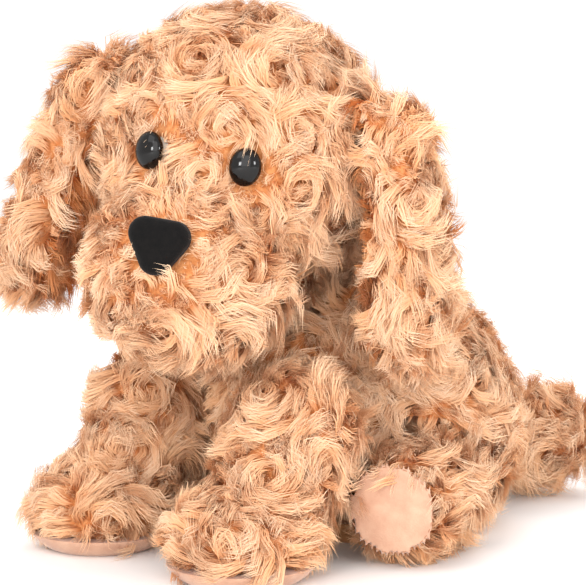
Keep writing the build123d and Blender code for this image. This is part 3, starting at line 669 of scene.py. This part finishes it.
SOLE_FULLNESS = 1.14   # the stuffing spreads a hind sole over the turned edge of the pile
TOE_OUT, SOLE_REACH = radians(24), 50   # the hind foot's turn, and its sole's distance from the hip, mm
HIND_SEAM, FRONT_SEAM = 21.5, 26        # radius of the ring of stitches, mm
PAW = (54, -125, 0)                     # middle of the left front sole, mm
for side, s in (("left", 1), ("right", -1)):
    body = f"hind_leg_{side}"
    sole = panel_of(f"{body}_suede", f"{body}_sole", body, suede)
    toes = Vector((s * sin(TOE_OUT), -cos(TOE_OUT), 0))
    middle = Vector((s * HIP[0], *HIP[1:])) + toes * SOLE_REACH
    centred = Matrix.Translation(middle * MM)
    fuller = toes.to_track_quat("Z", "Y").to_matrix().to_4x4()
    sole.data.transform(centred @ fuller @ Matrix.Diagonal((SOLE_FULLNESS, SOLE_FULLNESS, 1, 1))
                        @ fuller.inverted() @ centred.inverted())
    ring_of_stitches(f"{body}_stitches", sole, body, middle, toes, HIND_SEAM)
    body = f"front_leg_{side}"
    sole = panel_of(f"{body}_suede", f"{body}_sole", body, suede)
    ring_of_stitches(f"{body}_stitches", sole, body, (s * PAW[0], *PAW[1:]), (0, 0, -1), FRONT_SEAM)

# Seat panel: the flat underside that the toy sits on, sewn in round its edge.
# It is short brushed cloth, a shade browner than the pile.
seat_cloth = napped_finish("short_pile_seat_cloth", "#BC8150", "#D09A68", 5, 0.9, 0.4)
panel_of("seat_cloth", "seat_panel", "torso", seat_cloth, 2.0)

# Nose: a stuffed pad of black velvet, sewn on above the muzzle.
# It is so matt that only its rounded rim catches light.
velvet = napped_finish("black_velvet", "#060505", "#100D0C", 3, 0.95, 0.08)
nose = panel_of("nose_velvet", "nose_pad", "head", velvet, 0.8)
# Sewn on a little low and off centre
NOSE_SHIFT = 3   # mm
nose_shift = Vector((-cos(HEAD_TURN), -sin(HEAD_TURN), -1)) * NOSE_SHIFT * MM
nose.data.transform(Matrix.Translation(nose_shift))

# Eyes: domed buttons of moulded glossy black plastic, held inside the head by plain washers.
# Handling leaves faint scuffs, which show as slight changes of gloss.
gloss, tree, shader = new_material("moulded_black_plastic", IOR=1.49, Specular_IOR_Level=0.35)
where = add(tree, "ShaderNodeTexCoord").outputs["Object"]
scuffs = add(tree, "ShaderNodeTexNoise", {"Vector": where, "Scale": 700.0, "Detail": 4.0}).outputs["Fac"]
rough = add(tree, "ShaderNodeMapRange", {"Value": scuffs, "To Min": 0.04, "To Max": 0.14}).outputs[0]
tint = add(tree, "ShaderNodeValToRGB", {"Fac": scuffs})
tint.color_ramp.elements[0].color, tint.color_ramp.elements[1].color = linear("#060505"), linear("#14100E")
tree.links.new(rough, shader.inputs["Roughness"])
tree.links.new(tint.outputs[0], shader.inputs["Base Color"])
milky, tree, shader = new_material("moulded_polypropylene", IOR=1.49, Subsurface_Weight=0.1)
where = add(tree, "ShaderNodeTexCoord").outputs["Object"]
flow = add(tree, "ShaderNodeTexNoise", {"Vector": where, "Scale": 300.0}).outputs["Fac"]
tint = add(tree, "ShaderNodeValToRGB", {"Fac": flow})
tint.color_ramp.elements[0].color, tint.color_ramp.elements[1].color = linear("#DAD8D0"), linear("#ECEAE4")
rough = add(tree, "ShaderNodeMapRange", {"Value": flow, "To Min": 0.35, "To Max": 0.5}).outputs[0]
tree.links.new(tint.outputs[0], shader.inputs["Base Color"])
tree.links.new(rough, shader.inputs["Roughness"])
for side in ("left", "right"):
    for node, material in ((f"eye_{side}", gloss), (f"eye_washer_{side}", milky)):
        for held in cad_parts[node].material_slots:
            held.material = material

# Pellet bag: a slack cotton pouch of plastic pellets, low in the seat, that weights the toy.
cotton = napped_finish("woven_cotton_sheeting", "#D8D2C4", "#E9E4D8", 4, 0.9, 0.1)
bag = backing_of("pellet_bag", ["pellet_pouch", "pellet_fill"], 2 * MM, 0, 10, cotton)
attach(bag, "torso")
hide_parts("pellet_pouch", "pellet_fill")

# Care label: a blank strip of satin ribbon, sewn into the rear seam and curling a little.
satin = napped_finish("woven_satin_ribbon", "#F1EFEA", "#FBFAF7", 3, 0.45, 0.2)
label_low, label_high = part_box("care_label")
label_middle = (label_low + label_high) / 2
LABEL_BEARING = radians(62)   # round the trunk from straight behind
label_out = Vector((-sin(LABEL_BEARING), cos(LABEL_BEARING), 0))
label_side = label_out.cross(Vector((0, 0, 1)))
LABEL_WIDTH, LABEL_DROP, LABEL_CURL, LABEL_THICKNESS = 16 * MM, 24 * MM, 1.5 * MM, 0.4 * MM
COLUMNS, ROWS = 9, 13
corners = []
for row in range(ROWS):
    for column in range(COLUMNS):
        u, v = column / (COLUMNS - 1), row / (ROWS - 1)
        curl = LABEL_CURL * u * u * sin(pi * v)
        corners.append(label_middle + label_out * (LABEL_WIDTH * (u - 0.5))
                       + Vector((0, 0, LABEL_DROP * (v - 0.5))) + label_side * curl)
label_mesh = bpy.data.meshes.new("care_label_ribbon")
squares = [(r * COLUMNS + c, r * COLUMNS + c + 1, (r + 1) * COLUMNS + c + 1, (r + 1) * COLUMNS + c)
           for r in range(ROWS - 1) for c in range(COLUMNS - 1)]
label_mesh.from_pydata(corners, [], squares)
label_mesh.materials.append(satin)
label = link("care_label_ribbon", label_mesh)
thick = label.modifiers.new("thickness", "SOLIDIFY")
thick.thickness, thick.offset = LABEL_THICKNESS, 0
settle(label)
label.data.shade_smooth()
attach(label, "torso")
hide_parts("care_label")
